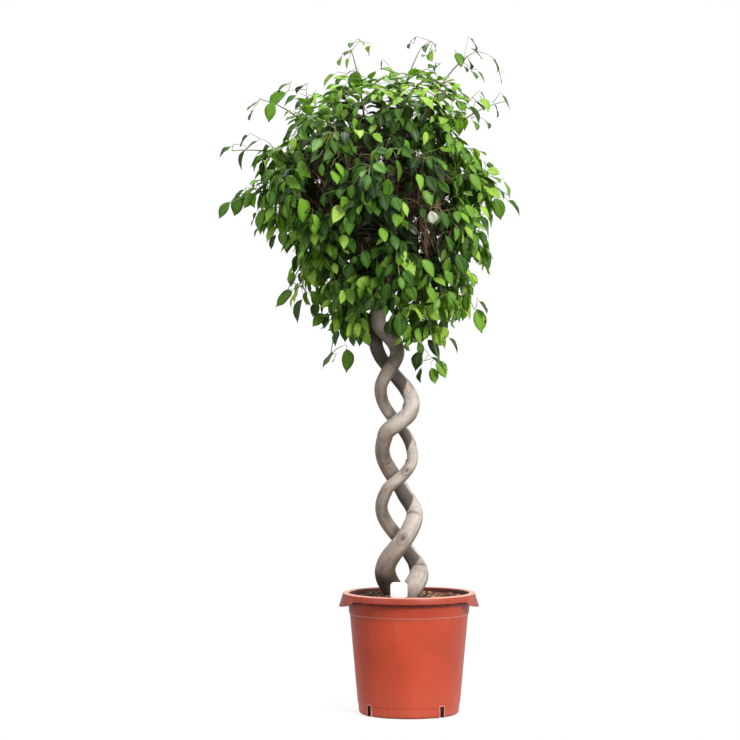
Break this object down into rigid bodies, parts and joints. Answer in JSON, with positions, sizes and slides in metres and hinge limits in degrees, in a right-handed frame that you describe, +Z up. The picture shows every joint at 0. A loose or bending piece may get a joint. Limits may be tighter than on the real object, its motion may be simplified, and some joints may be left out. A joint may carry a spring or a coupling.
{
  "type": "potted weeping fig",
  "caption": "Weeping fig with two stems wound in an open spiral under a rounded, drooping leafy crown, in a round plastic pot.",
  "frame": {"origin": "middle of the pot's flat underside, on the pot's axis", "axes": "+Z up along the pot's axis, -Y towards the front, where the label stands, +X to the right seen from the front"},
  "size_m": [0.7364, 0.7146, 1.6743],
  "materials": {
    "terracotta_plastic": "satin",
    "potting_soil": "matte",
    "label_plastic": "satin",
    "bark": "matte",
    "leaf": "satin"
  },
  "bodies": {
    "root": {"pot": "terracotta_plastic", "potting_soil": "potting_soil", "plant_label": "label_plastic", "stem_thick": "bark", "stem_thin": "bark", "leafy_spray_01": "leaf", "leafy_spray_02": "leaf", "leafy_spray_03": "leaf", "leafy_spray_04": "leaf", "leafy_spray_05": "leaf", "leafy_spray_06": "leaf", "leafy_spray_07": "leaf", "leafy_spray_08": "leaf", "leafy_spray_09": "leaf", "leafy_spray_10": "leaf", "leafy_spray_11": "leaf", "leafy_spray_12": "leaf", "leafy_spray_13": "leaf", "leafy_spray_14": "leaf", "leafy_spray_15": "leaf", "leafy_spray_16": "leaf", "leafy_spray_17": "leaf", "leafy_spray_18": "leaf", "leafy_spray_19": "leaf", "leafy_spray_20": "leaf", "leafy_spray_21": "leaf", "leafy_spray_22": "leaf", "leafy_spray_23": "leaf", "leafy_spray_24": "leaf", "leafy_spray_25": "leaf", "leafy_spray_26": "leaf", "leafy_spray_27": "leaf", "leafy_spray_28": "leaf", "leafy_spray_29": "leaf", "leafy_spray_30": "leaf", "leafy_spray_31": "leaf", "leafy_spray_32": "leaf", "leafy_spray_33": "leaf", "leafy_spray_34": "leaf", "leafy_spray_35": "leaf", "leafy_spray_36": "leaf", "leafy_spray_37": "leaf", "leafy_spray_38": "leaf", "leafy_spray_39": "leaf", "leafy_spray_40": "leaf", "leafy_spray_41": "leaf", "leafy_spray_42": "leaf", "leafy_spray_43": "leaf", "leafy_spray_44": "leaf", "leafy_spray_45": "leaf"}
  },
  "joints": []
}
